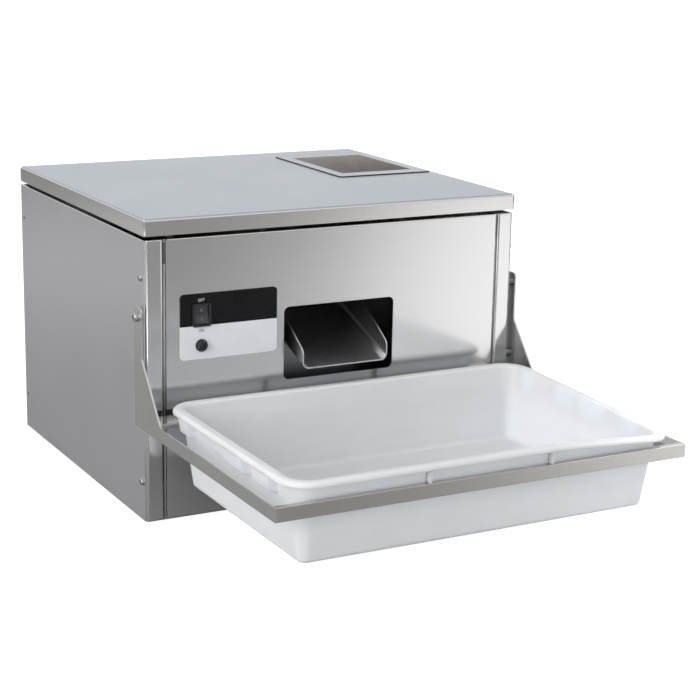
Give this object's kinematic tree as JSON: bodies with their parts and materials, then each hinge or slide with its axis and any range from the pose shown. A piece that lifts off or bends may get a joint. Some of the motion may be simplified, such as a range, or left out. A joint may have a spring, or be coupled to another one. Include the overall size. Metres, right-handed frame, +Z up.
{
  "type": "cutlery dryer and polisher",
  "caption": "Tabletop steel machine that dries and polishes cutlery in a vibrating bowl, with a lid hopper, front chute, control plate and a tub on a front rack.",
  "frame": {"origin": "centre of the whole part's footprint, rack and gland included, on the surface it stands on", "axes": "+X to the right seen from the front, +Y from the front to the back, +Z up"},
  "size_m": [0.511, 0.802, 0.3652],
  "materials": {
    "satin_steel": "satin stainless sheet",
    "polished_steel": "bright annealed stainless sheet",
    "grained_steel": "grained stainless sheet",
    "rack_steel": "satin stainless plate",
    "chute_steel": "smooth stainless sheet",
    "bowl_steel": "plain stainless sheet",
    "screw_steel": "bright screws",
    "spring_steel": "oiled spring wire",
    "weight_steel": "cast weights",
    "motor_paint": "painted housing",
    "heater_steel": "heat-tinted tube",
    "tray_plastic": "translucent white polyethylene",
    "plate_print": "printed plate, dark above and pale below",
    "black_plastic": "moulded black plastic",
    "grey_plastic": "moulded dark plastic",
    "ivory_plastic": "moulded ivory plastic",
    "foot_rubber": "black rubber",
    "can_aluminium": "drawn can"
  },
  "bodies": {
    "housing": {"base_pan": "grained_steel", "rear_post_left": "grained_steel", "rear_post_right": "grained_steel", "rear_rail": "grained_steel", "side_panel_left": "grained_steel", "side_panel_right": "grained_steel", "rear_panel": "grained_steel", "front_post_left": "polished_steel", "front_post_right": "polished_steel", "top_rail": "polished_steel", "front_panel": "polished_steel", "rack_arm_left": "rack_steel", "rack_arm_right": "rack_steel", "rack_front_bar": "rack_steel", "rack_rear_bar": "rack_steel", "foot_bolts": "screw_steel", "panel_screws": "screw_steel", "rack_screws": "screw_steel", "rack_spacers": "screw_steel", "rack_nuts": "screw_steel", "control_plate": "plate_print", "switch_bezel": "black_plastic", "fuse_holder": "black_plastic", "fuse_nut": "grey_plastic", "cable_gland": "grey_plastic", "gland_locknut": "grey_plastic", "rubber_feet": "foot_rubber", "gland_seal": "foot_rubber", "spring_seats_lower": "foot_rubber", "terminal_block": "ivory_plastic", "run_capacitor": "can_aluminium", "springs": "spring_steel"},
    "lid": {"lid": "satin_steel"},
    "hopper": {"hopper": "polished_steel"},
    "tray": {"tray": "tray_plastic"},
    "rocker": {"switch_rocker": "black_plastic"},
    "fuse_cap": {"fuse_cap": "black_plastic", "fuse_cartridge": "ivory_plastic"},
    "bowl": {"drive_plate": "bowl_steel", "motor_column": "bowl_steel", "column_cap": "bowl_steel", "bowl_trough": "bowl_steel", "bowl_wall": "bowl_steel", "spiral_ramp": "bowl_steel", "drive_bolts": "screw_steel", "heater_clips": "screw_steel", "outlet_chute": "chute_steel", "motor_body": "motor_paint", "spring_seats_upper": "foot_rubber", "heater_ring": "heater_steel", "thermostat": "ivory_plastic"},
    "rotor": {"rotor_shaft": "screw_steel", "upper_weight": "weight_steel", "lower_weight": "weight_steel"}
  },
  "joints": [
    {"name": "lid_lift", "type": "slide", "parent": "housing", "child": "lid", "axis": [0, 0, 1], "range_m": [0, 0.12]},
    {"name": "hopper_lift", "type": "slide", "parent": "lid", "child": "hopper", "axis": [0, 0, 1], "range_m": [0, 0.12]},
    {"name": "tray_lift", "type": "slide", "parent": "housing", "child": "tray", "axis": [0, 0, 1], "range_m": [0, 0.12]},
    {"name": "switch_rock", "type": "hinge", "parent": "housing", "child": "rocker", "pos_m": [-0.1761, -0.05, 0.2498], "axis": [1, 0, 0], "range_deg": [0, 16]},
    {"name": "fuse_turn", "type": "hinge", "parent": "housing", "child": "fuse_cap", "pos_m": [-0.1761, -0.051, 0.2142], "axis": [0, -1, 0], "range_deg": [0, 60]},
    {"name": "bowl_shake", "type": "slide", "parent": "housing", "child": "bowl", "axis": [0, 0, 1], "range_m": [-0.003, 0.003], "stiffness_N_per_m": 80000, "springref_m": 0.00215, "deforming": ["springs"]},
    {"name": "rotor_spin", "type": "hinge", "parent": "bowl", "child": "rotor", "pos_m": [0, 0.164, 0.11], "axis": [0, 0, 1], "continuous": true}
  ]
}
